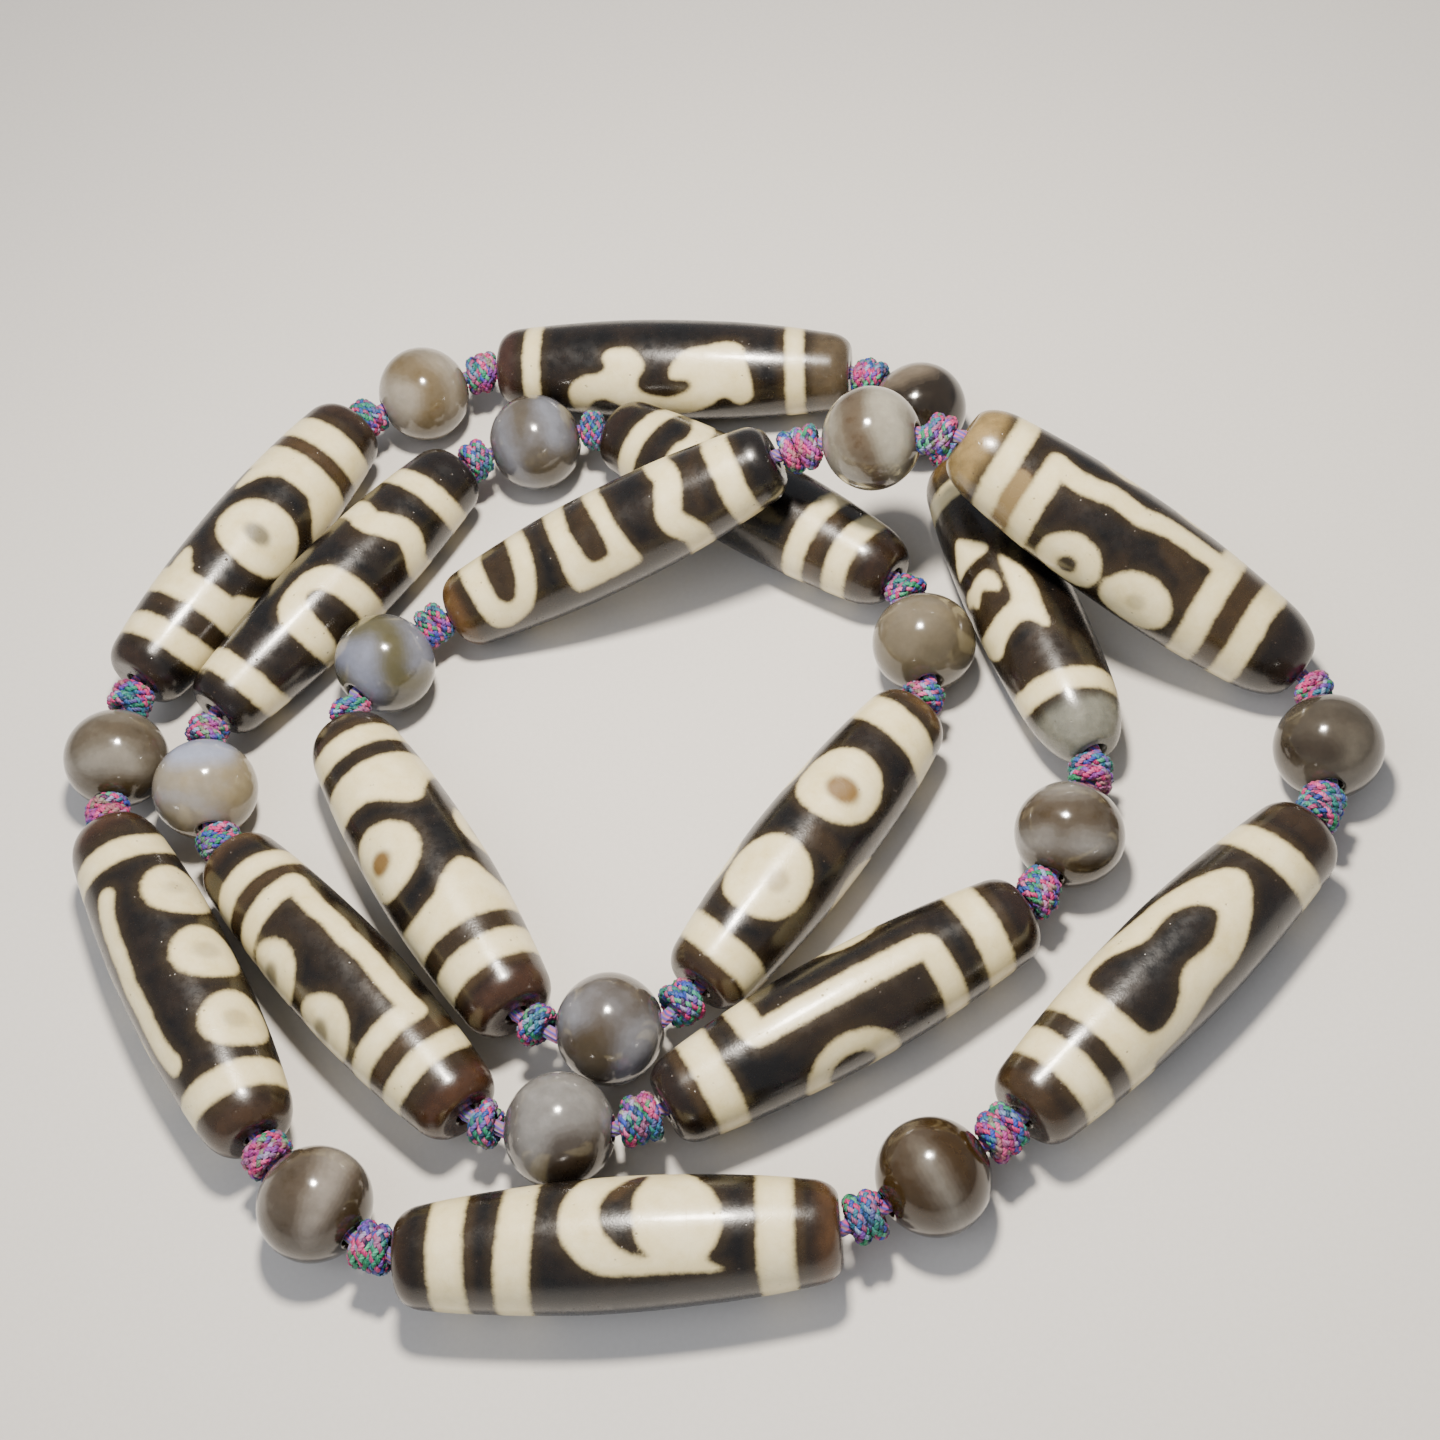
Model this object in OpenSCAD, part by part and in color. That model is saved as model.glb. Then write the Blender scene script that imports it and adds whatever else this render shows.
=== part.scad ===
// A closed strand of 14 long dzi beads and 14 round agate beads, with a knot of
// the braided cord on both sides of every bead. The strand lies coiled on a flat
// surface at Z = 0, and two long beads lie across their neighbours.

/* [Dzi beads] */
// Diameter of a dzi bead's flat end, as a share of its girth
end_ratio = 0.72; // [0.6:0.01:0.8]
// Radius of the worn rim around each flat end
rim_radius = 1; // [0.4:0.1:1.2]
// Steps along the side of a dzi bead
side_steps = 12; // [8:2:24]
// Steps around each worn rim
rim_steps = 3; // [2:1:6]

/* [Agate beads] */
// Diameter of a round agate bead, across the string
agate_girth = 10.4; // [9.6:0.1:10.4]
// Length of a round agate bead, along the string
agate_length = 9.6; // [9:0.1:9.8]
// Steps along a round agate bead's side
agate_steps = 16; // [10:2:32]

/* [Cord] */
// Diameter of the cord where it runs through the beads
cord_girth = 1.4; // [1:0.1:1.5]
// Diameter of the hole drilled through every bead
hole_girth = 2; // [1.8:0.1:2.4]
// Width of the worn bevel around each hole's mouth
mouth_bevel = 0.3; // [0.1:0.1:0.5]
// Sides of the cord's cross-section
cord_sides = 8; // [6:1:12]

/* [Knots] */
// Diameter of a knot
knot_girth = 5; // [4:0.1:5.2]
// Share of its girth that a knot loses where the strand bends by a right angle
knot_squeeze = 0.2; // [0:0.05:0.25]
// Clear space between a knot and the beads beside it
knot_gap = 0.25; // [0.15:0.05:0.4]
// Clear space between a knot and the cord inside it
knot_play = 0.2; // [0.1:0.05:0.3]
// Wraps of cord that show side by side on a knot
knot_wraps = 3; // [2:1:4]
// Depth of the grooves between the wraps
groove_depth = 0.25; // [0:0.05:0.5]
// Steps along one wrap
wrap_steps = 5; // [4:1:8]
// Shape of a knot's side: 0.5 is an ellipse and less is squarer
knot_bulge = 0.45; // [0.4:0.01:0.5]

/* [Hidden] */
$fn = 48;

// The long beads in string order. Heading is the way the string runs through the
// bead, counted from +X towards +Y. Lift is how far the bead's middle is above
// where it would lie by itself, and tilt is how steeply the bead climbs.
DZI_X = 0;
DZI_Y = 1;
DZI_HEADING = 2;
DZI_LENGTH = 3;
DZI_GIRTH = 4;
DZI_LIFT = 5;
DZI_TILT = 6;
DZI = [
    //    x       y  heading  length   girth  lift    tilt
    [   3.5,   48.5,     -14,     39,     11,    0,      0],
    [  33.9,    8.9,     -81,   37.5,   10.8,    0,      0],
    [     9,    -32,     201,   37.5,   10.8,    0,      0],
    [ -36.5,  -20.5,     124,   37.5,   10.6,    0,      0],
    [   -35,     26,      45,     38,   10.6,    0,      0],
    [   9.1,   28.2,   -45.5,     37,   10.6,    0,      0],
    [   8.5,  -14.5,     226,     36,   10.8,    0,      0],
    [   -28,    -10,     113,   37.5,   11.2,    0,      0],
    [  -5.7,   22.8,     5.5,   37.5,   10.6,  4.5,   19.5],
    [  44.3,      8,   -37.5,     40,   11.7,  6.3,    -25],
    [    38,  -33.5,     216,   39.5,   11.2,    0,      0],
    [   -14,  -50.5,     174,     38,   11.4,    0,      0],
    [   -52,  -17.5,     112,     38,   11.2,    0,      0],
    [ -44.5,     33,      52,   38.5,   11.4,    0,      0]
];

// The round beads in string order, each one after the long bead of its own row.
AGATE_X = 0;
AGATE_Y = 1;
AGATE_LIFT = 2;
AGATE = [
    //    x       y   lift
    [  28.7,     37,     0],
    [  32.5,    -18,     0],
    [   -18,    -39,     0],
    [ -49.5,    3.5,     0],
    [ -12.8,   41.6,     0],
    [  23.4,    6.5,     0],
    [ -12.5,    -30,     0],
    [ -30.8,   15.2,     0],
    [  21.5,   22.8,  13.1],
    [  58.5,  -13.3,     0],
    [  13.5,    -49,     0],
    [   -40,    -42,     0],
    [ -58.5,      9,     0],
    [ -24.5,   51.5,     0]
];

bead_count = len(DZI);
knot_count = 2 * bead_count;
// How far a round bead's face falls away from its hole's mouth at a knot's side
ball_fall = 0.1;

function unit(v) = v / norm(v);
function along(heading, tilt) =
    [cos(heading) * cos(tilt), sin(heading) * cos(tilt), sin(tilt)];

// A long bead's middle, the way its hole runs, and the middle of each hole mouth.
function dzi_middle(i) =
    [DZI[i][DZI_X], DZI[i][DZI_Y], DZI[i][DZI_GIRTH] / 2 + DZI[i][DZI_LIFT]];
function dzi_way(i) = along(DZI[i][DZI_HEADING], DZI[i][DZI_TILT]);
function dzi_mouth(i, side) = dzi_middle(i) + side * DZI[i][DZI_LENGTH] / 2 * dzi_way(i);

// A round bead's hole runs halfway between the directions to its two neighbours.
function agate_middle(i) =
    [AGATE[i][AGATE_X], AGATE[i][AGATE_Y], agate_girth / 2 + AGATE[i][AGATE_LIFT]];
function agate_way(i) =
    unit(unit(agate_middle(i) - dzi_mouth(i, 1))
        + unit(dzi_mouth((i + 1) % bead_count, -1) - agate_middle(i)));
function agate_mouth(i, side) = agate_middle(i) + side * agate_length / 2 * agate_way(i);

// The two hole mouths that a knot fills the space between, and the way out of each.
// Even knots follow a long bead and odd ones follow a round bead.
function mouth_before(k) = let (i = floor(k / 2)) k % 2 == 0 ? dzi_mouth(i, 1) : agate_mouth(i, 1);
function way_before(k) = let (i = floor(k / 2)) k % 2 == 0 ? dzi_way(i) : agate_way(i);
function mouth_after(k) =
    let (i = floor(k / 2)) k % 2 == 0 ? agate_mouth(i, -1) : dzi_mouth((i + 1) % bead_count, -1);
function way_after(k) =
    let (i = floor(k / 2)) k % 2 == 0 ? agate_way(i) : dzi_way((i + 1) % bead_count);

// The cord runs straight from mouth to mouth. A knot turns half of the bend
// between its two beads, and it sits on the cord equally far from both faces. A
// round bead's face falls away, so a knot may come a little closer to it.
function knot_way(k) = unit(way_before(k) + way_after(k));
function cord_way(k) = unit(mouth_after(k) - mouth_before(k));
function falls_before(k) = k % 2 == 0 ? 0 : ball_fall;
function falls_after(k) = k % 2 == 0 ? ball_fall : 0;
function room_before(k) =
    let (
        closing_before = cord_way(k) * way_before(k),
        closing_after = cord_way(k) * way_after(k),
        space = norm(mouth_after(k) - mouth_before(k))
    )
    (space * closing_after + falls_after(k) - falls_before(k)) / (closing_before + closing_after);
function knot_middle(k) = mouth_before(k) + room_before(k) * cord_way(k);

// A knot is squeezed thinner where the strand bends, and it is as long as its tilt
// between the two faces allows.
function knot_bend(k) = acos(knot_way(k) * way_before(k));
function knot_radius(k) = knot_girth / 2 * (1 - knot_squeeze * knot_bend(k) / 45);
function knot_half(k) =
    let (
        reach = room_before(k) * (cord_way(k) * way_before(k)) + falls_before(k) - knot_gap,
        spread = knot_radius(k) * sin(knot_bend(k))
    )
    sqrt(reach * reach - spread * spread) / cos(knot_bend(k));

// Profiles are lists of [radius, place along the string] around the middle.
function barrel_radius(place, length, girth) =
    girth / 2 * (1 - (1 - end_ratio) * pow(2 * place / length, 2));
function barrel_side(length, girth) =
    let (straight = length / 2 - rim_radius)
    [for (n = [0 : side_steps])
        let (place = straight * (2 * n / side_steps - 1))
        [barrel_radius(place, length, girth), place]];
function barrel_rim(length, girth) =
    let (straight = length / 2 - rim_radius)
    [for (n = [1 : rim_steps])
        let (turn = 90 * n / rim_steps)
        [barrel_radius(straight, length, girth) - rim_radius * (1 - cos(turn)),
            straight + rim_radius * sin(turn)]];
function mirrored(points) = [for (n = [len(points) - 1 : -1 : 0]) [points[n][0], -points[n][1]]];
function hole_side(length) =
    let (half = length / 2, r = hole_girth / 2)
    [[r + mouth_bevel, half], [r, half - mouth_bevel],
        [r, mouth_bevel - half], [r + mouth_bevel, -half]];
function ball_side() =
    let (half = agate_length / 2, last = acos((hole_girth / 2 + mouth_bevel) / (agate_girth / 2)))
    [for (n = [0 : agate_steps])
        let (turn = last * (2 * n / agate_steps - 1))
        [agate_girth / 2 * cos(turn), half * sin(turn) / sin(last)]];
function knot_side(half, radius) =
    let (steps = knot_wraps * wrap_steps)
    [for (n = [1 : steps - 1])
        let (place = 2 * n / steps - 1, wrap = abs(sin(180 * n / wrap_steps)))
        [radius * pow(1 - place * place, knot_bulge) - groove_depth * (1 - wrap),
            half * place]];

// Turns a solid drawn along Z to run along the string at its place.
module strung(middle, way) {
    translate(middle) rotate([0, acos(way[2]), atan2(way[1], way[0])]) children();
}

module dzi_bead(i) {
    length = DZI[i][DZI_LENGTH];
    girth = DZI[i][DZI_GIRTH];
    rim = barrel_rim(length, girth);
    color("#3a2a22") strung(dzi_middle(i), dzi_way(i))
        rotate_extrude() polygon(concat(
            mirrored(rim), barrel_side(length, girth), rim, hole_side(length)));
}

module agate_bead(i) {
    color("#9a8a7a") strung(agate_middle(i), agate_way(i))
        rotate_extrude() polygon(concat(ball_side(), hole_side(agate_length)));
}

module knot(k) {
    half = knot_half(k);
    color("#8a4a6a") difference() {
        strung(knot_middle(k), knot_way(k))
            rotate_extrude() polygon(concat(
                [[0, -half]], knot_side(half, knot_radius(k)), [[0, half]]));
        strung(knot_middle(k), cord_way(k))
            cylinder(d = cord_girth + 2 * knot_play, h = 2 * knot_girth, center = true);
    }
}

// The cord bends only at the hole mouths.
function cord_stops() = [for (k = [0 : knot_count - 1]) each [mouth_before(k), mouth_after(k)]];
function cord_ring(before, here, after) =
    let (way = unit(unit(here - before) + unit(after - here)),
        side = unit(cross([0, 0, 1], way)),
        up = cross(way, side))
    [for (n = [0 : cord_sides - 1])
        let (turn = 360 * n / cord_sides)
        here + cord_girth / 2 * (cos(turn) * side + sin(turn) * up)];

module cord() {
    stops = cord_stops();
    count = len(stops);
    points = [for (s = [0 : count - 1])
        each cord_ring(stops[(s + count - 1) % count], stops[s], stops[(s + 1) % count])];
    faces = [for (s = [0 : count - 1]) for (n = [0 : cord_sides - 1])
        let (here = s * cord_sides,
            next = ((s + 1) % count) * cord_sides,
            turned = (n + 1) % cord_sides)
        each [[here + n, here + turned, next + turned], [here + n, next + turned, next + n]]];
    color("#2f5f7a") polyhedron(points, faces);
}

function numbered(name, n) = str(name, n < 9 ? "_0" : "_", n + 1);

for (i = [0 : bead_count - 1]) {
    dzi_bead(i);
    agate_bead(i);
}
for (k = [0 : knot_count - 1]) {
    knot(k);
}
cord();
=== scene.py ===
"""A string of fourteen long etched agate beads and fourteen banded agate beads, with a
knot of many-coloured cord between each two beads, dressed over its CAD solids."""
from functools import partial
from math import asin, cos, pi, radians, sin, sqrt

import bpy
import numpy as np
from mathutils import Matrix


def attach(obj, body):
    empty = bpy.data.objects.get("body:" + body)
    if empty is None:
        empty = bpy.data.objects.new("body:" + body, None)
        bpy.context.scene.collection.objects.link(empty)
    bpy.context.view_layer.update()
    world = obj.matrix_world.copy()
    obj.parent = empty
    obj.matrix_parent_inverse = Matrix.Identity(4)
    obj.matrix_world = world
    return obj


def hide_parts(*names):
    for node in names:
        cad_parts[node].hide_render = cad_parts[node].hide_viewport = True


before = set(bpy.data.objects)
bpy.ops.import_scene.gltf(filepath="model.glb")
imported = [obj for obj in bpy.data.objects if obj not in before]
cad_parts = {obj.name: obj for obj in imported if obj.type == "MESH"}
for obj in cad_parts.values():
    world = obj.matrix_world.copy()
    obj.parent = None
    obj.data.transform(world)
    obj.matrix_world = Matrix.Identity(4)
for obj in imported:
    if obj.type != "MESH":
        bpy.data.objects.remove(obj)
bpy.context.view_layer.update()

MM = 0.001

# The camera stands at the photograph's viewing angle. Places are in mm, angles in radians.
CAMERA_PLACE = np.array([2.0, -120.4, 183.7])
LENS = 54.75
SENSOR = 36.0
DOWNWARD_ANGLE = radians(55.69)
ROLL = radians(-9.594)
SIGHT = np.array([0.0, cos(DOWNWARD_ANGLE), -sin(DOWNWARD_ANGLE)])
ACROSS = np.array([1.0, 0.0, 0.0])
PICTURE_RIGHT = cos(ROLL) * ACROSS - sin(ROLL) * np.cross(SIGHT, ACROSS)
PICTURE_DOWN = sin(ROLL) * ACROSS + cos(ROLL) * np.cross(SIGHT, ACROSS)


def stand(name, data, right, up, back, place):
    """Puts a camera or a lamp into the scene by its own three axes and its place in mm."""
    holder = bpy.data.objects.new(name, data)
    bpy.context.scene.collection.objects.link(holder)
    columns = [right, up, back, place * MM]
    holder.matrix_world = Matrix([[c[i] for c in columns] for i in range(3)] + [[0, 0, 0, 1]])
    return holder


# It looks down by the downward angle, and its picture is turned about that line of sight.
lens = bpy.data.cameras.new("camera")
lens.sensor_width = SENSOR
lens.lens = LENS
camera = stand("camera", lens, PICTURE_RIGHT, -PICTURE_DOWN, -SIGHT, CAMERA_PLACE)
bpy.context.scene.camera = camera

# Sizes and places are the part's own, in mm and degrees.
# Long beads: x, y of the middle, heading, length, girth, lift off the table, tilt.
LONG_BEADS = [
    [3.5, 48.5, -14, 39, 11, 0, 0],
    [33.9, 8.9, -81, 37.5, 10.8, 0, 0],
    [9, -32, 201, 37.5, 10.8, 0, 0],
    [-36.5, -20.5, 124, 37.5, 10.6, 0, 0],
    [-35, 26, 45, 38, 10.6, 0, 0],
    [9.1, 28.2, -45.5, 37, 10.6, 0, 0],
    [8.5, -14.5, 226, 36, 10.8, 0, 0],
    [-28, -10, 113, 37.5, 11.2, 0, 0],
    [-5.7, 22.8, 5.5, 37.5, 10.6, 4.5, 19.5],
    [44.3, 8, -37.5, 40, 11.7, 6.3, -25],
    [38, -33.5, 216, 39.5, 11.2, 0, 0],
    [-14, -50.5, 174, 38, 11.4, 0, 0],
    [-52, -17.5, 112, 38, 11.2, 0, 0],
    [-44.5, 33, 52, 38.5, 11.4, 0, 0],
]
# Round beads: x, y of the middle, lift off the table.
ROUND_BEADS = [
    [28.7, 37, 0], [32.5, -18, 0], [-18, -39, 0], [-49.5, 3.5, 0], [-12.8, 41.6, 0],
    [23.4, 6.5, 0], [-12.5, -30, 0], [-30.8, 15.2, 0], [21.5, 22.8, 13.1], [58.5, -13.3, 0],
    [13.5, -49, 0], [-40, -42, 0], [-58.5, 9, 0], [-24.5, 51.5, 0],
]
ROUND_GIRTH = 10.4
ROUND_LENGTH = 9.6
# A long bead's girth at its ends, as a share of that at its middle.
END_RATIO = 0.72
HOLE = 2.0
MOUTH_BEVEL = 0.3
# How far the wear at a long bead's two ends reaches along it and how deep it goes, in mm.
PLAIN_WEAR = [(2.0, 1.3), (2.0, 1.3)]
END_WEAR = {
    1: [(2.5, 1.4), (6.0, 2.1)],
    9: [(3.5, 1.7), (4.5, 1.8)],
    5: [(2.0, 1.3), (3.5, 1.7)],
    7: [(2.0, 1.3), (3.0, 1.5)],
    12: [(3.0, 1.5), (3.0, 1.5)],
}
# Beads are cut by hand, a little under their solids, and are not quite round. Each wave is
# its height in mm, turns round the bead, radians along it per mm, and lag.
MEAN_CUT = 0.03
LONG_WAVES = [(0.02, 2, 0, 0), (0.015, 0, 0.45, pi / 2), (0.012, 3, 0.3, 0)]
ROUND_WAVES = [(0.02, 2, 0, 0), (0.01, 0, 1, pi / 2)]
# The unevenness starts this far out from the hole's edge, and is full at the second, in mm.
WAVES_START = (0.6, 2.0)
# Grid lines round a bead, along a long bead's side and over its rim, and along a round one.
LONG_SIDES = 96
ROUND_SIDES = 72
SIDE_STEPS = 104
RIM_STEPS = 15
ROUND_STEPS = 52
# Each kind of piece draws its random numbers from its own row of seeds.
LONG_SEED = 100
ROUND_SEED = 300
KNOT_SEED = 500
# Softness in mm of the edges of eyes' tinted hearts, of warm stain, of the natural stone at
# the ends, and of the layers in round beads, and by how far the end stone's edge wanders.
HEART_EDGE = (-0.45, 0.35)
WARM_EDGE = 0.5
STONE_EDGE = (-2.0, 1.3)
LAYER_EDGE = 1.4
STONE_WANDER = (0.35, 0.25)
# By how much the layers of a round bead shift per mm behind its face.
LAYER_DRIFT = 0.35
# Fill in mm of the corner where two etched shapes meet, and where an eye meets the rest.
CORNER_FILL = 0.35
EYE_CORNER_FILL = 0.1
# Further from a line, in mm, than any place on a bead can be.
FAR = 20.0

# Half the side of the table, in mm.
TABLE_REACH = 900.0
AGATE_IOR = 1.54

# What is etched on each long bead, as (kind, places), with the width in mm between them for
# a ring, which is a band right round, and a line, which is open at its ends. A place is mm
# along the string from the bead's first end and degrees round it from the line that faces
# the camera. A fill is the outline of a patch. A disc is one or more round eyes, each with
# its half sizes along and round in mm. A cut is a patch and a hole an eye that is stained
# dark again inside another mark.
ETCHING = [
    [("ring", 1.9, "4 -120, 4.2 -40, 4.3 0, 4.3 60, 4.2 120"),
     ("ring", 2, "32.7 -120, 33 -60, 33.4 0, 33.4 50, 33.2 120"),
     ("line", 2.2, "10 130, 14 150, 18 135, 22 150, 28 135"),
     ("fill", "12.3 -14, 12.6 -21, 13.6 -25, 15 -25, 16.2 -20, 16.9 -10, 17 0, 16.4 9, 16.1 18, 16.6 26, "
      "18 32, 19.5 33.5, 21 29, 22 22, 22.3 15, 21.5 11, 20 11, 19.7 4, 20 -6, 20.8 -17, 22 -26, 23.7 -28, "
      "24.6 -32, 26 -36, 27.3 -33, 28 -22, 28.2 -5, 28.8 12, 28.9 28, 28.5 38, 27.6 44, 26.8 41, 26 31, "
      "25 35, 24 45, 22.5 55, 20.5 61, 17.5 61, 15.3 55, 13.7 44, 12.3 37, 11.2 42, 10.6 52, 10.2 64, "
      "9.4 67, 8.7 62, 8.5 45, 8.5 30, 9 17, 10.3 9, 12 6, 12.8 0"),
     ("disc", "14 200 3.2 3.4, 23 205 3.2 3.4")],
    [("ring", 2.4, "5 -120, 5 0, 5 120"),
     ("ring", 2.3, "32.4 -80, 31.8 -30, 31.4 0, 31.1 30, 31 52, 29.8 90, 29.4 150, 31 220"),
     ("fill", "15 0, 17 -11, 18.3 -19, 20 -22, 22.5 -20, 25.3 -19, 25.6 -13, 24.5 -5, 23.8 3, 23.8 14, "
      "24.3 30, 25.6 52, 24.2 73, 22.3 95, 21 125, 18.5 125, 20 95, 21.1 80, 21.8 60, 21.8 40, 21.5 25, "
      "21.3 6, 19.5 3"),
     ("fill", "16.4 18, 17.3 11, 18.5 9, 19.6 14, 18.8 23, 18 32, 18.4 38, 19.4 48, 18.3 55, 17.8 68, "
      "16.7 60, 16.8 48, 16.5 35, 16.3 25"),
     ("fill", "14.3 3, 14.7 20, 14.6 40, 14.9 62, 13.6 57, 12 46, 10.6 37, 12.1 22, 13.3 9"),
     ("disc", "13 190 3.3 3.4, 23 200 3.3 3.4"),
     ("hole", "13 190 1.3 1.4, 23 200 1.3 1.4")],
    [("ring", 2.9, "5.2 -120, 5.1 -60, 5.2 -30, 5.2 30, 5.2 60, 4.8 95"),
     ("ring", 2.8, "32.8 -120, 32.9 -70, 32.9 -30, 33 0, 32.9 60, 32.6 95"),
     ("line", 2.4, "10.2 -130, 10.2 -90, 10.3 -40, 10.5 0, 10.6 18, 12 19, 20 20.5, 27 20.5, 28 22, 28 40, "
      "28 70, 27.7 100, 27.4 140"),
     ("line", 2.4, "27.4 140, 22 142, 14 146"),
     ("disc", "21.2 -66 4.75 4.3, 16 97 3.5 3.3, 19 188 4.2 4"),
     ("hole", "21.3 -66 2.4 2.2, 19 188 1.6 1.5")],
    [("ring", 2.2, "5.3 -120, 5.2 -70, 4.9 -30, 5 0, 5 40, 5.2 65, 6.2 95"),
     ("ring", 2.4, "31.5 -120, 31.4 -60, 32 -30, 32 0, 31.9 30, 31.6 55, 31.6 95"),
     ("line", 2.3, "9.4 -110, 9.3 -75, 9.2 -30, 9.3 20, 9.5 36"),
     ("line", 2.3, "9.5 36, 12 33.5, 15 34.5, 17 36, 20 32.5, 22 34.5, 24 31, 26 32.5, 27.9 35"),
     ("line", 2.3, "27.9 35, 27.8 0, 27.5 -30, 27 -75, 26.8 -110"),
     ("line", 2.3, "9.4 -110, 14 -113, 18 -109, 22 -113, 26.8 -110"),
     ("disc", "14.7 -57 3.3 3.6, 22.6 -57 3.1 3.6, 14 160 3.2 3.3, 23 160 3.2 3.3")],
    [("ring", 2.6, "3.6 -120, 3.6 -60, 3.5 -30, 3.6 0, 3.8 30, 4.4 60, 5.2 90"),
     ("ring", 2.8, "25.8 -110, 25.6 -75, 25.5 -52, 24.6 -33, 25.7 -14, 26.7 8, 26.5 26, 25.6 47, 25.8 62, "
      "26.6 80, 27.2 110, 26 150, 27 190, 25.5 220"),
     ("ring", 2.5, "31.6 -110, 31.7 -45, 31.9 -20, 32 0, 32.3 30, 32.8 60, 33.6 90"),
     ("fill", "11.8 150, 11.6 90, 11 60, 10.3 30, 10 0, 10.1 -20, 11 -33, 12.6 -42, 14.5 -46, 16.5 -42, "
      "18.1 -30, 18.8 -10, 19.3 15, 19.7 40, 19.9 60, 20.5 90, 20.6 150"),
     ("cut", "13 70, 13 40, 13 10, 13.2 -8, 13.8 -18, 14.5 -21, 15.3 -18, 16 -6, 16.5 15, 16.8 40, "
      "16.9 70"),
     ("hole", "16.1 118 1.8 2.2")],
    [("ring", 2.2, "5.9 -70, 5.5 -30, 5.2 0, 5 40, 5.1 95"),
     ("ring", 2.3, "28.1 -60, 27.8 -20, 27.7 0, 27.6 30, 27.4 60, 27.2 100"),
     ("ring", 2.5, "32.8 -60, 32.4 -20, 32.3 20, 32.3 60, 31.8 95"),
     ("line", 2.4, "9.6 -80, 12 -40, 10.5 0, 12 40, 10 80"),
     ("line", 2.4, "20.5 -80, 19 -40, 18.5 -10"),
     ("disc", "16.2 0 2.6 3.2, 16 150 3.4 3.6, 16 -130 3.4 3.6")],
    [("ring", 3.4, "5.3 -60, 4.7 -30, 4.5 0, 4.2 30, 4 60, 3.4 95, 4.2 200"),
     ("ring", 2.8, "33 -60, 33 -20, 33.1 5, 32.8 30, 32.3 60, 31.6 95, 32.4 200"),
     ("disc", "13.4 16 4.05 4.35, 25 17 4.2 4.35, 13.4 112 3.7 3.9, 25 114 3.7 3.9, 19 -102 3.9 4, "
      "26 -150 3.2 3.4, 11.5 -150 3.2 3.4")],
    [("ring", 2.8, "5.1 -110, 5.1 -70, 5 0, 5.1 60, 5.2 110"),
     ("ring", 2.6, "33.9 -100, 33.1 -60, 32.9 -30, 32.8 0, 32.8 30, 32.6 60, 32.8 120"),
     ("fill", "9.2 -110, 8.8 -80, 8.6 -30, 8.5 0, 8.5 70, 8.8 110, 9.2 180, 9.2 250, 12.6 250, 14.5 200, "
      "12.4 160, 11.2 110, 11.6 72, 12.8 57, 14.3 47, 15 36, 14.8 25, 14 12, 12.9 0, 12.1 -14, 11.9 -40, "
      "12.3 -65, 13.5 -90, 13 -110"),
     ("fill", "29.9 -110, 29.6 -60, 29.6 0, 29.3 60, 29.4 110, 29.8 180, 29.8 250, 25.8 250, 24 200, "
      "25.9 160, 26.4 110, 26.2 75, 25.4 58, 24.4 47, 23 36, 22.6 26, 23 15, 24 2, 25.2 -14, 25.6 -30, "
      "25.7 -60, 25.9 -110"),
     ("disc", "19 -36 3.75 4.4, 18.8 82 3 2.7, 19 175 3.4 3.8")],
    [("ring", 2.7, "26.2 -95, 26.6 -63, 27.5 -37, 26.9 -15, 26 5, 26.4 21, 27.5 40, 27.4 60, 26.7 95, "
      "26.2 145, 27.7 195, 26.2 235"),
     ("ring", 2.7, "32.7 -95, 32.9 -40, 33.1 -5, 32.9 15, 32.9 55, 32.7 105"),
     ("fill", "2.3 -105, 2.9 -65, 3.5 -30, 3.8 5, 3.9 27, 4.3 41, 5.2 49, 6.5 48, 8.1 40, 9.5 27, 10.6 10, "
      "11.3 -10, 11.5 -30, 11.3 -50, 10.7 -75, 10.3 -105, 9.5 -135, 3.5 -135"),
     ("fill", "12.9 -105, 13.6 -65, 14 -30, 14.1 -5, 13.8 15, 13.8 41, 14.6 42.5, 19.6 42.5, 21.6 41, "
      "21.3 20, 20.8 -15, 20.4 -45, 19.9 -75, 19.6 -105, 19.4 -135, 13 -135"),
     ("disc", "9 130 3.2 3.4, 18 130 3.2 3.4"),
     ("cut", "5.4 -103, 5.7 -65, 6 -25, 6.1 0, 6.7 14, 7.5 16, 8.3 9, 9 -7, 9.3 -27, 9.1 -55, 8.5 -85, "
      "7.9 -107"),
     ("cut", "15.6 -107, 15.8 -65, 16 -30, 16.4 -5, 16.6 12, 17.4 16.5, 18.4 16.5, 19.1 12, 19.1 -15, "
      "18.6 -45, 18 -75, 17.6 -107"),
     ("hole", "9 130 1.2 1.3, 18 130 1.2 1.3")],
    [("ring", 2.3, "4.6 -110, 4.5 -50, 4.5 0, 4.7 30, 5.3 60, 5.7 90"),
     ("ring", 2.6, "33.9 -100, 33.4 -60, 32.7 -30, 33 0, 33.3 30, 33.8 60, 34 150"),
     ("ring", 2.6, "29 -100, 28.3 -70, 27.9 -45, 27.9 0, 28.5 30, 29.1 60, 29.4 100"),
     ("line", 2.3, "28 -47, 25 -45, 22 -45.5, 20 -43, 18.5 -37, 17 -37, 15 -40, 13.5 -35, 12 -31.5, "
      "10.5 -31, 8.8 -35"),
     ("line", 2.3, "8.8 -35, 8.6 -20, 8.7 0, 8.9 30, 9.5 60, 10 90, 10 165"),
     ("line", 2.4, "10 165, 14 161, 18 167, 22 161, 26 167, 29 163"),
     ("disc", "15 46 3.3 3.4, 22.4 40 3.65 3.4, 15 -105 3.3 3.5, 23 -110 3.3 3.5"),
     ("hole", "15 49 1 1.15")],
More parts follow.
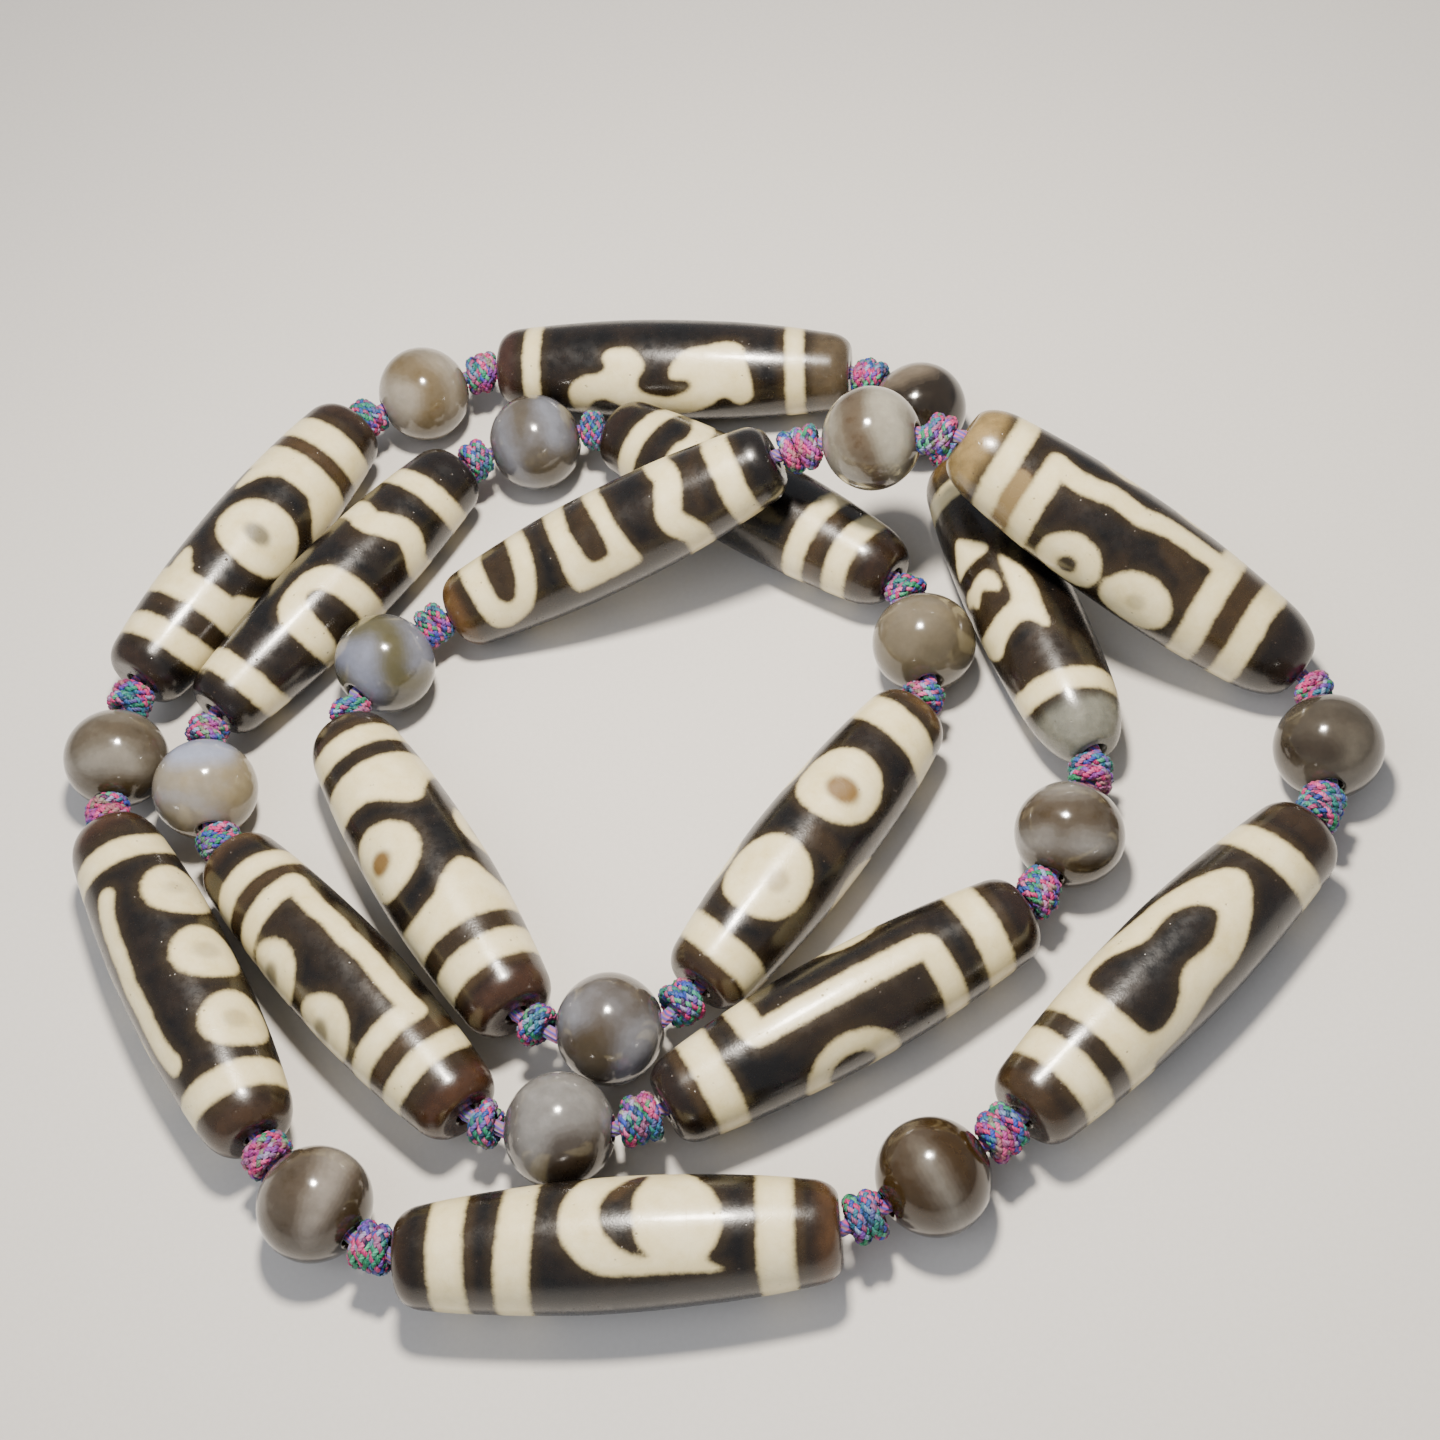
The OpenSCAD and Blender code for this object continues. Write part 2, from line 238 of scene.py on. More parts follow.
    [("ring", 3, "5.2 -100, 5.9 -55, 6.2 -30, 6.5 0, 6.7 30, 6.8 60, 6.5 95"),
     ("ring", 2.9, "29.6 -100, 29.5 -40, 29.7 0, 29.8 60, 29.8 100"),
     ("ring", 2.9, "34.4 -100, 34.6 -50, 34.6 0, 34.8 60, 34.6 100"),
     ("fill", "10.1 15, 10.8 0, 12 -12, 14 -28, 15.5 -38, 17 -42, 19.5 -43, 21 -47, 22.5 -55, 24.5 -61, "
      "27 -64, 30 -65, 30 92, 26 90, 23 80, 21 70, 19 64.5, 17 62, 15 54, 12.5 42, 10.8 30"),
     ("disc", "14 165 3.4 3.6, 22 165 3.4 3.6"),
     ("cut", "14.9 10, 15.3 0, 17 -9, 19 -11, 21 -8, 22 -13, 23.5 -28, 25 -35, 26.5 -37, 27.7 -30, "
      "28.2 -10, 28.2 20, 28.1 45, 27.3 55, 26 56, 24.5 53, 23 42, 22 35, 20.5 34, 18.5 37, 17 33, "
      "15.5 22")],
    [("ring", 3.1, "5.3 -100, 5.5 -20, 5.3 0, 5.2 30, 5.3 90"),
     ("ring", 3, "27.8 -60, 27.4 -10, 27 15, 26.8 45, 26.7 75, 27 120"),
     ("ring", 3.1, "33.2 -60, 33.1 0, 33 30, 32.9 60, 33.1 100"),
     ("fill", "9.4 -28.5, 10.4 -24, 11.3 -17, 10.5 -8, 9.8 5, 9.6 18, 9.9 35, 10.6 50, 11.6 65, 12.5 80, "
      "13.6 98, 16 108, 19 100, 21.2 84, 21.9 66, 22.9 45, 23.3 25, 23.1 5, 22.1 -9, 20.8 -21, 19.3 -26, "
      "16 -26.5, 13 -28, 11 -30"),
     ("disc", "16 170 4.2 4.4"),
     ("cut", "15.7 -12.5, 17.5 -9, 19 2, 19.9 18, 19.9 35, 19.3 48, 18 62, 17 74, 15.8 80, 16.2 62, "
      "16.9 45, 17.1 25, 16.9 5, 16.5 -5"),
     ("hole", "16 170 1.7 1.8")],
    [("ring", 2.7, "4.6 -100, 4.6 -60, 4.4 -30, 4.3 0, 4.2 30, 4 60, 3.9 90"),
     ("ring", 2.7, "31.9 -100, 32 -25, 31.9 10, 31.8 45, 32.4 70, 33 95"),
     ("line", 2.1, "8.7 -47, 10 -50.5, 12.5 -52, 15 -49, 18 -51, 20.5 -46, 23 -45, 26 -41, 27.6 -32"),
     ("line", 2.1, "8.7 150, 12 146, 16 152, 20 147, 27 151"),
     ("disc", "9.8 38 3 3.8, 17.5 39 3.1 3.75, 25.4 43 3.25 3.8, 13 -115 3.1 3.4, 22 -115 3.1 3.4")],
    [("ring", 2.6, "4 -100, 4.2 -45, 4.3 -10, 4.6 20, 5.1 45, 5.8 68, 6.4 95"),
     ("ring", 3.2, "33.1 -100, 33 -60, 33 0, 33 40, 33.4 80"),
     ("ring", 3.6, "27.8 -110, 27.8 -50, 27.7 0, 27.6 60, 27.6 110"),
     ("ring", 3.2, "9.7 -110, 9.6 -60, 9.8 0, 10.4 50, 10.9 95"),
     ("fill", "9 -66, 13.5 -68, 14.2 -60, 13.6 -51, 12.6 -43, 11.6 -33, 9 -30"),
     ("fill", "9 24, 12 20, 12.8 31, 13.6 44, 14.9 57, 13.8 66, 10 70"),
     ("fill", "27 -72, 23 -70, 22.5 -60, 24 -50, 25.2 -40, 25.8 -25, 27.6 -20"),
     ("fill", "27.6 14, 25.6 16, 24.9 30, 23.7 43, 23.1 56, 23.8 66, 27 70"),
     ("disc", "18.9 1 3.85 5, 19 175 3.8 4.4")],
]
# Tinted hearts of eyes, by the number of the bead: placed and sized as an eye is, then the
# strengths of amber and of grey.
HEARTS = {
    0: "14 200 0.9 1.1 0.7 0, 23 205 0.9 1.1 0.7 0",
    3: "15 -63 0.9 1.5 0.1 0.75, 22.9 -62 0.9 1.5 0.1 0.75, 14 160 0.9 1 0 0.7, 23 160 0.9 1 0 0.7",
    5: "16.2 0 0.9 1.2 0.6 0, 16 150 1 1.1 0.7 0, 16 -130 1 1.1 0.7 0",
    6: "13.8 9 1.35 1.7 1 0, 25 4 1.1 1 0.4 0.2, 13.4 112 1.1 1.3 0.8 0, 25 114 1.1 1.3 0.5 0.2, "
        "19 -102 1.1 1.3 0.8 0",
    7: "19 -39 1.1 1.4 1 0, 18.8 82 0.8 0.8 0.6 0, 19 175 1 1.2 0.8 0",
    9: "22.4 38 0.9 0.9 0 0.4, 15 -105 0.9 1.2 0.4 0.4, 23 -110 0.9 1.2 0.4 0.4",
    10: "14 165 1 1.2 0.7 0, 22 165 1 1.2 0.7 0",
    12: "9.7 35 0.95 1.2 0.15 0.3, 17.6 37 0.95 1.3 0.15 0.3, 25.6 38 0.7 1.1 0.1 0.25, "
        "13 -115 0.9 1.1 0.15 0.3, 22 -115 0.9 1.1 0.15 0.3",
    13: "18.8 -3 1.05 1.5 0 0.9, 19 175 1.1 1.4 0 0.9",
}
# Where brown shows through the dark stain: strength, width in mm, line of places. Above a
# strength of 1 the brown turns to the tan of thinly stained stone.
WARM_STAIN = [
    [(0.25, 1.2, "31.4 -90, 32 0, 32 90")],
    [(0.2, 5, "19 30, 20 60"), (0.2, 4, "27.5 -20, 28 60")],
    [(0.6, 1, "34.9 -90, 35 0, 34.9 90"), (0.45, 0.8, "3.1 -90, 3 90"), (0.15, 3, "14 -20, 25 -4")],
    [(0.6, 1.3, "29.9 -100, 29.9 100"),
     (0.4, 1, "2.9 -90, 2.9 90"),
     (0.15, 3, "13 5, 25 5"),
     (0.7, 1.4, "7.2 -90, 7.2 60")],
    [(0.12, 2, "22 -60, 22 90")],
    [(0.5, 1.4, "29.7 -60, 29.5 90"), (0.4, 1, "34 -60, 33.6 90")],
    [(0.45, 2.2, "19.3 -25, 19.3 5"), (0.6, 0.8, "34.9 -60, 34.4 90"), (0.35, 2, "8 -60, 30 -60")],
    [(0.7, 0.8, "3.2 -90, 3.2 90"), (0.5, 0.9, "34.8 -90, 34.6 90"), (0.25, 1.4, "7.5 -90, 7.6 90")],
    [(0.35, 2.4, "7.5 -85, 7.6 5"), (0.4, 1.8, "17.7 -45, 17.8 11"), (0.3, 1, "30.3 -65, 29.5 15")],
    [(1.75, 3, "6.6 6, 6.9 30, 7.4 60, 8 110"),
     (0.45, 2.2, "22 -24, 25.5 -14, 26 8"),
     (0.6, 2.5, "30.7 -100, 30.4 -30, 30.5 0, 31 30, 31.5 60"),
     (0.3, 1.6, "18.7 8, 18.7 25")],
    [(0.5, 0.8, "36.5 -90, 36.6 90"), (0.4, 0.8, "4.3 -70, 4.9 60"), (0.25, 0.8, "32 -60, 32 90")],
    [(0.9, 1.7, "18.6 48, 17.2 70, 15.8 90"), (0.6, 0.8, "3.4 -60, 3.2 90"), (0.4, 0.7, "31 -60, 30.9 90")],
    [(0.35, 1, "2.5 -90, 2.4 90"), (0.3, 1.2, "34.4 -60, 34.6 60"), (0.2, 3, "14 80, 25 85")],
    [(1, 1.5, "30.5 -110, 30.5 110"), (0.35, 1, "7 -60, 7.4 60"), (0.4, 0.9, "35.2 -60, 35.6 60")],
]
# Natural stone at the ends of each long bead: mm from the end, and colour, for each end.
END_STONE = [
    [(2.9, "#33211A"), (4.6, "#483D2C")],
    [(3.4, "#54401F"), (4.8, "#6A695D")],
    [(3, "#22160F"), (2.4, "#20150E")],
    [(3.3, "#3A2414"), (3.2, "#3E2C1A")],
    [(2, "#18120F"), (2.6, "#17110E")],
    [(3.4, "#20160F"), (3, "#24180F")],
    [(2.3, "#4E3A24"), (1.6, "#38271A")],
    [(2.9, "#342115"), (2.6, "#2C2013")],
    [(2.6, "#523A1D"), (2.2, "#120E0C")],
    [(4.2, "#7A663F"), (3.4, "#231B16")],
    [(4.2, "#2A1E12"), (2.8, "#322414")],
    [(3, "#46301B"), (2.6, "#2A1C0E")],
    [(2.6, "#362618"), (3.4, "#3A2516")],
    [(2.2, "#281D15"), (3.2, "#2F2116")],
]
# Banded agates: the colour of the dark layers, of the pale ones, how pale the ground is
# from 0 to 1, then each layer that shows as (paleness, width in mm, line), where a place
# is mm to the right and mm down on the bead as the camera sees it.
LAYERS = [
    # First ball: its dark layers are painted near black as painted shade, for the shadow that the ball lies
    # in.
    ["#1A140D", "#6A5F50", 0.1,
     (1, 2.4, "-6 -1.5, -4 -3.2, -1.5 -4.4, 1 -5")],
    ["#33260F", "#75726D", 0.3,
     (0.8, 2.2, "-2.6 -4.3, 1.6 -4.7"),
     (0.25, 2.2, "-4.6 -2, -1 -2.3, 3 -1.8, 4.6 -0.7"),
     (0.95, 2.1, "-4.9 0.6, -2.4 0.7"),
     (0.6, 1.7, "-2.4 0.7, 0.6 0.9"),
     (1, 2.3, "1.4 0.9, 3.5 1.3"),
     (0.15, 3.8, "-4.5 4.1, 0 4.2, 4 4.2")],
    ["#291E11", "#757370", 0.9,
     (0.3, 2.6, "0.2 1.4, 2.5 1.1, 4.6 1.6"),
     (0.1, 5.4, "0.9 4.4, 3.4 4.1"),
     (0.35, 1.9, "-5 -2, -5 2")],
    ["#7C7157", "#868C9E", 0.2,
     (1, 3.4, "-2.6 -3.9, 1.4 -4.3"),
     (0.05, 2.4, "4.6 -2.6, 3.4 -0.6, 3.6 3"),
     (0.5, 1.8, "-3.8 0.8, -1.2 0.9, 0.6 2.6")],
    ["#433A28", "#6B6D75", 0.2,
     (0.85, 2.3, "-4 -2.6, -3.5 0, -2.1 2.5, -0.6 5"),
     (1, 3.1, "1.3 -4, 1.7 -2, 2.3 -0.3"),
     (0.6, 1.5, "-0.2 -1.8, -0.4 0"),
     (0.2, 3.2, "0.4 2.2, 3.6 3.2")],
    ["#4E4635", "#675F50", 0.5,
     (0.9, 3, "-3 -3, 1 -3.8"),
     (0.05, 2.1, "4.5 -0.5, 1.5 0.6, -1 2.5, -4 3.5")],
    ["#3A3020", "#6F7075", 0.3,
     (0.9, 2.7, "-4.2 -3.2, -3.1 -0.8"),
     (0.6, 2.1, "-1.6 -3.6, 0.4 -2"),
     (1, 2.9, "3.2 0.4, 2.1 2.3, 1.3 4"),
     (0, 2.5, "-2.1 1.2, -1 3.2")],
    ["#49452F", "#6A6D7A", 1,
     (0, 2.8, "-4 -4, -1.2 -4.3, 0.4 -3.2, 0.9 -1.4, 0.7 0.3, 1.4 1.8, 2.8 2.4, 4.8 1.8"),
     (0.1, 3.6, "-5 2.5, -3.8 4.2"),
     (0.3, 2.4, "1.2 3.7, 3.4 3.5")],
    ["#36250E", "#8C887A", 0.75,
     (0.22, 2.9, "-1.8 -5, -2 -2.4, -1.7 0, -1 1.5, 0.5 3.2, 1.5 5"),
     (1, 2.8, "1.3 -4.2, 2.1 -1, 2.5 1.5, 3.2 3"),
     (0.25, 1.5, "4.8 -2.4, 5 1, 4.3 3.6")],
    ["#2A231A", "#544E43", 0.5,
     (0.9, 2.4, "2.5 -0.6, 2.2 0.9"),
     (0.7, 1.9, "-3.8 3, -1 2.4"),
     (0, 2, "-4.5 0.5, -2 0, 0 0.6")],
    ["#2E1F08", "#6A655C", 0.05,
     (0.5, 1.8, "-2.6 -5, -1.4 -2.8"),
     (0.85, 1.9, "-0.6 -1.4, 0.9 0.8, 2.2 4"),
     (0.3, 1.4, "-3.6 -3, -2.6 -0.6")],
    ["#2F2310", "#7A736A", 0.45,
     (0.18, 2.3, "-1.5 -5, -2.1 -2, -2 1, -1.1 3"),
     (1, 2.7, "2 -4, 1 -1, 0.2 1.5, -0.2 3"),
     (0.15, 3.6, "4.8 -1.2, 3.2 1.4, 2.2 3.2, 0.6 5"),
     (0.1, 2.5, "-4.5 2.5, -2.5 4")],
    ["#3A2F1C", "#7B766C", 0.85,
     (0.3, 2.9, "-4.8 -1.2, -2.8 -2.8, 0 -3.3, 2.4 -2.4, 3.8 -0.6, 4.8 1.4"),
     (0, 4.4, "-4.5 3.9, -1 4, 2 4.1, 4 4.1")],
    ["#55472C", "#8C8578", 0.85,
     (0.2, 3, "-4.2 -3.2, -1.6 -3.1, 0.3 -1.9, 1.2 0, 1.1 2, 0 4.6"),
     (0.35, 1.7, "4.7 -2, 4.9 1, 4 3.6")],
]
# The threads that the knots and the cord are braided from.
THREADS = [
    "#B92C6C", "#1D7F54", "#283F9C", "#653796", "#2A6C88", "#1A2148", "#CC5E90", "#459F77", "#8397BC"
]


def unit(v):
    """A vector over its own length, or each of a row of vectors over its own."""
    return v / np.linalg.norm(v, axis=-1, keepdims=True)


def linear(hexcode):
    """sRGB hex to linear light: ((c + 0.055) / 1.055) to the power 2.4 above 0.04045."""
    c = np.array([int(hexcode[i : i + 2], 16) / 255 for i in (1, 3, 5)])
    c = np.where(c > 0.04045, ((c + 0.055) / 1.055) ** 2.4, c / 12.92)
    return [*map(float, c), 1.0]


def blend_between(low, high, value):
    """Smooth rise from 0 at low to 1 at high: t squared times (3 minus 2t)."""
    t = np.clip((value - low) / (high - low), 0, 1)
    return t * t * (3 - 2 * t)


def woven_faces(rows, columns, closed):
    """Quads over a grid whose columns go round, and whose rows go round too when closed."""
    row, column = np.indices((rows if closed else rows - 1, columns)).reshape(2, -1)
    here = row * columns
    ahead = (row + 1) % rows * columns
    over = (column + 1) % columns
    return np.stack([here + column, ahead + column, ahead + over, here + over], 1)


def outward(points, faces):
    """Turns the quads of a closed surface round if they face inwards: the sum of their corner
    tetrahedra, which is six times the volume, is negative then."""
    a, b, c, d = [points[faces[:, i]] for i in range(4)]
    volume = np.einsum("ij,ij->", a, np.cross(b, c)) + np.einsum("ij,ij->", a, np.cross(c, d))
    return faces if volume > 0 else faces[:, ::-1]


def put_mesh(name, points, faces, material, **attributes):
    """Makes an object from points in mm, quads and values at the points: one, three or four
    numbers to a point make a plain, a vector or a colour attribute."""
    mesh = bpy.data.meshes.new(name)
    mesh.from_pydata(points * MM, [], faces, shade_flat=False)
    kinds = {1: ("FLOAT", "value"), 3: ("FLOAT_VECTOR", "vector"), 4: ("FLOAT_COLOR", "color")}
    for key, values in attributes.items():
        values = np.asarray(values, dtype=np.float32)
        kind, field = kinds[values.size // len(points)]
        mesh.attributes.new(key, kind, "POINT").data.foreach_set(field, values.ravel())
    mesh.validate()
    mesh.materials.append(material)
    piece = bpy.data.objects.new(name, mesh)
    bpy.context.scene.collection.objects.link(piece)
    return piece


def dress(k, piece, node, slot, points, faces, material, **attributes):
    """Makes the piece that stands for one CAD node, hides the node and gives the piece the material; the
    slot is not used.
    """
    points = points.reshape(-1, 3)
    piece = put_mesh("%s_%02d" % (piece, k + 1), points, outward(points, faces), material, **attributes)
    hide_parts("%s_%02d" % (node, k + 1))
    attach(piece, "root")


def long_bead_line(k):
    """Middle of a long bead, the way the string runs through it, and its length and girth."""
    x, y, heading, length, girth, lift, tilt = LONG_BEADS[k % len(LONG_BEADS)]
    h, t = radians(heading), radians(tilt)
    way = np.array([cos(h) * cos(t), sin(h) * cos(t), sin(t)])
    return np.array([x, y, girth / 2 + lift]), way, length, girth


def round_bead_line(k):
    """Middle of a round bead, and its way: halfway between its two neighbours' mouths."""
    x, y, lift = ROUND_BEADS[k]
    middle = np.array([x, y, ROUND_GIRTH / 2 + lift])
    before, way_before, length_before, _ = long_bead_line(k)
    after, way_after, length_after, _ = long_bead_line(k + 1)
    mouth_before = before + way_before * length_before / 2
    mouth_after = after - way_after * length_after / 2
    return middle, unit(unit(middle - mouth_before) + unit(mouth_after - middle))


def trace(text):
    """The places of a line that is written as pairs of numbers with commas between them."""
    return np.array([pair.split() for pair in text.split(",")], dtype=float)


def softened(line, closed=False):
    """Two rounds of corner cutting: each side is cut at a quarter and at three quarters."""
    for _ in range(2):
        ends = np.vstack([line, line[:1]]) if closed else line
        near = ends[:-1] * 0.75 + ends[1:] * 0.25
        far = ends[:-1] * 0.25 + ends[1:] * 0.75
        cut = np.stack([near, far], 1).reshape(-1, 2)
        line = cut if closed else np.vstack([line[:1], cut, line[-1:]])
    return np.vstack([line, line[:1]]) if closed else line


def line_distance(place, line, patch=False):
    """Distance in mm along the surface from each place (mm along, degrees round, mm to a
    degree there) to a line, which is also tried a turn to either side. To the outline of a
    patch it is signed, and positive inside: where one side of the place has an odd number of
    crossings."""
    s, turn, scale = place
    away = np.full(s.shape, np.inf)
    inside = np.full(s.shape, not patch)
    for t in (turn + 360, turn, turn - 360):
        for (s0, t0), (s1, t1) in zip(line[:-1], line[1:]):
            ax, ay = s - s0, (t - t0) * scale
            bx, by = s1 - s0, (t1 - t0) * scale
            along = np.clip((ax * bx + ay * by) / (bx * bx + by * by + 1e-9), 0, 1)
            away = np.minimum(away, np.hypot(ax - along * bx, ay - along * by))
            if patch and t0 != t1:
                inside ^= ((t0 > t) != (t1 > t)) & (s < s0 + (t - t0) * (s1 - s0) / (t1 - t0))
    return np.where(inside, away, -away)


def eye_distance(place, eye):
    """Signed distance to an oval, positive inside: one minus the scaled radius, times the
    smaller half size."""
    s, turn, scale = place
    around = (turn - eye[1] + 180) % 360 - 180
    reach = np.hypot((s - eye[0]) / eye[2], around * scale / eye[3])
    return (1 - reach) * min(eye[2], eye[3])


def joined(a, b, fill=CORNER_FILL):
    """The larger of two distances, with the corner between them filled by a small arc."""
    h = np.clip(0.5 + 0.5 * (a - b) / fill, 0, 1)
    return b + (a - b) * h + fill * h * (1 - h)


def etched(figure, place):
    """Signed distance in mm to all that is etched on a bead, positive on the ivory lines.
    Each mark is joined to those before it, and cuts and holes are joined to the dark side."""
    value = np.full(place[0].shape, -FAR)
    for kind, *width, text in figure:
        line = trace(text)
        if kind == "ring":
            line = np.vstack([line, line[:1] + [0, 360]])
        if kind in ("ring", "line"):
            marks = [width[0] / 2 - line_distance(place, softened(line))]
        elif kind in ("fill", "cut"):
            marks = [line_distance(place, softened(line, True), True)]
        else:
            marks = [eye_distance(place, eye) for eye in line]
        for mark in marks:
            if kind in ("cut", "hole"):
                value = -joined(-value, mark)
            else:
                value = joined(value, mark, EYE_CORNER_FILL if kind == "disc" else CORNER_FILL)
    return value


def long_profile(length, girth, first_end, last_end):
    """Closed outline of half a long bead as (mm along, radius). The side is a barrel whose
    radius falls with the square of the way to its end. Each end's worn rim takes off its depth
    times one minus the cosine of an angle whose sine is the way into the rim. Then come the
    flat face, the bevelled mouth and the first mm of the bore."""
    half, radius, bore = length / 2, girth / 2, HOLE / 2
    bend = np.radians(np.linspace(0, 90, RIM_STEPS))
    low = -half + first_end[0] * (1 - np.sin(bend[::-1]))
    high = half - last_end[0] * (1 - np.sin(bend))
    side = np.concatenate([low, np.linspace(low[-1], high[0], SIDE_STEPS)[1:-1], high])
    worn = np.zeros(len(side))
    worn[:RIM_STEPS] = first_end[1] * (1 - np.cos(bend[::-1]))
    worn[-RIM_STEPS:] = last_end[1] * (1 - np.cos(bend))
    side = np.stack([side, radius * (1 - (1 - END_RATIO) * (side / half) ** 2) - worn], 1)
    lip = bore + MOUTH_BEVEL
    mouth = [[half, lip + 0.05], [half, lip], [half - MOUTH_BEVEL, bore], [half - 1, bore]]
    first, last = [np.array([[half, (edge + lip) / 2], *mouth]) for edge in side[[0, -1], 1]]
    return np.vstack([side, last, first[::-1] * [-1, 1]])


def round_profile():
    """Closed outline of half a round bead as (mm along, radius): part of an oval as thick as
    its girth that ends at the bevelled mouths, and the start of the bore."""
    reach, radius, bore = ROUND_LENGTH / 2, ROUND_GIRTH / 2, HOLE / 2
    fall = sqrt(1 - ((bore + MOUTH_BEVEL) / radius) ** 2)
    lean = np.linspace(-asin(fall), asin(fall), ROUND_STEPS)
    outside = np.stack([reach * np.sin(lean) / fall, radius * np.cos(lean)], 1)
    mouth = np.array([[reach - MOUTH_BEVEL, bore], [reach - 1.2, bore]])
    return np.vstack([outside, mouth, mouth[::-1] * [-1, 1]])


def turned(profile, middle, way, sides, waves, phases):
    """Turns a closed outline about a bead's line, from the side that faces the camera: each
    point is the middle plus its mm along, plus its radius in a direction that goes round.
    Outside the mouths the radius loses the mean cut and gains the sum of the waves, each its
    height times the cosine of its turns round plus its radians along plus its phase."""
    towards = CAMERA_PLACE - middle
    towards = unit(towards - way * (towards @ way))
    turn = np.arange(sides) * 2 * pi / sides
    s, r = [profile[:, i, None] + 0 * turn for i in (0, 1)]
    uneven = -MEAN_CUT + sum(
        height * np.cos(round_turns * turn + along * s + phase - lag)
        for (height, round_turns, along, lag), phase in zip(waves, phases)
    )
    r = r + blend_between(HOLE / 2 + WAVES_START[0], HOLE / 2 + WAVES_START[1], r) * uneven
    ring = np.cos(turn)[:, None] * towards + np.sin(turn)[:, None] * np.cross(way, towards)
    points = middle + s[..., None] * way + r[..., None] * ring
    return points.reshape(-1, 3), s.ravel(), np.tile(np.degrees(turn), len(profile))


def make_long_bead(k, material):
    """One long bead: its turned surface, and at each point the distance to the etching, the
    strength of amber and grey hearts and of warm stain, and the natural stone at the ends."""
    middle, way, length, girth = long_bead_line(k)
    phases = np.random.default_rng(LONG_SEED + k).uniform(0, 2 * pi, 3)
    profile = long_profile(length, girth, *END_WEAR.get(k, PLAIN_WEAR))
    points, s, turn = turned(profile, middle, way, LONG_SIDES, LONG_WAVES, phases)
    s = s + length / 2
    turn = (turn + 180) % 360 - 180
    scale = np.radians(1) * girth / 2 * (1 - (1 - END_RATIO) * (2 * s / length - 1) ** 2)
    place = (s, turn, scale)
    hearts = np.zeros((2, len(s)))
    for heart in trace(HEARTS[k]) if k in HEARTS else ():
        near = blend_between(*HEART_EDGE, eye_distance(place, heart))
        hearts = np.maximum(hearts, np.outer(heart[4:], near))
    warm = np.zeros(len(s))
    for strength, width, text in WARM_STAIN[k]:
        inside = width / 2 - line_distance(place, softened(trace(text)))
        warm = np.maximum(warm, strength * blend_between(-WARM_EDGE, WARM_EDGE, inside))
    wander = sum(
        reach * np.sin(np.radians(n * turn) + phase)
        for reach, n, phase in zip(STONE_WANDER, (1, 2), phases)
    )
    stone = np.zeros((len(s), 4))
    share = np.zeros(len(s))
    for (reach, colour), from_end in zip(END_STONE[k], (s, length - s)):
        here = 1 - blend_between(reach + STONE_EDGE[0], reach + STONE_EDGE[1], from_end + wander)
        stone += np.outer(here, linear(colour))
        share = np.maximum(share, here)
    stone[:, 3] = share
    faces = woven_faces(len(profile), LONG_SIDES, True)
    dress(
        k, "dzi_bead", "dzi", "etched_agate", points, faces, material,
        etch=etched(ETCHING[k], place), amber_heart=hearts[0], grey_heart=hearts[1],
        warm_stain=warm, end_stone=stone, end_share=share,
    )


def make_round_bead(k, material):
    """One round bead: its turned surface, and at each point its place in the stone, how pale
    the layer there is, and the colours of the dark layers and the pale ones."""
    middle, way = round_bead_line(k)
    phases = np.random.default_rng(ROUND_SEED + k).uniform(0, 2 * pi, 2)
    profile = round_profile()
    points, _, _ = turned(profile, middle, way, ROUND_SIDES, ROUND_WAVES, phases)
    dark, pale, ground, *layers = LAYERS[k]
    sight = unit(middle - CAMERA_PLACE)
    right = unit(np.cross(np.cross(sight, PICTURE_RIGHT), sight))
    place = (points - middle) @ np.stack([right, np.cross(sight, right), sight], 1)
    drift = LAYER_DRIFT * np.clip(place[:, 2], 0, None)
    seen = (place[:, 0] + drift * cos(phases[0]), place[:, 1] + drift * sin(phases[0]), 1)
    paleness = np.full(len(points), float(ground))
    for value, width, text in layers:
        inside = width / 2 - line_distance(seen, softened(trace(text)))
        paleness += (value - paleness) * blend_between(-LAYER_EDGE, LAYER_EDGE, inside)
    faces = woven_faces(len(profile), ROUND_SIDES, True)
    # Each bead is cut from its own part of the stone, 10 mm on from the one before.
    dress(
        k, "agate_bead", "agate", "banded_agate", points, faces, material,
        layer_place=place + [10 * k, 0, 0],
        paleness=paleness,
        dark_layer=np.tile(linear(dark), (len(points), 1)),
        pale_layer=np.tile(linear(pale), (len(points), 1)),
    )


# The knots' own cord and its braid, in mm: the width of the cord, how many strands turn each
# way, how far along it one goes round, a strand's two half sizes, how many times the second
# it bulges, and its rise at a crossing.
CORD_ACROSS = 1.62
CARRIERS = 6
BRAID_TURN = 4.3
STRAND_WIDE = 0.27
STRAND_THICK = 0.14
STRAND_BULGE = 1.2
WEAVE = 0.11
# How it is wound: widths of cord from turn to turn, turns beyond those that fill the length,
# turns at each end that do not climb, the part of a turn in which an end tucks in and to
# what share of the reach, and the lean of the turns in mm.
WRAP_PITCH = 0.95
SPARE_TURNS = 1.35
FLAT_TURNS = 0.6
TUCK_TURNS = 0.28
TUCK_REACH = 0.45
LEAN = 0.42
STEPS_A_TURN = 46
RING_SPACE = 0.2


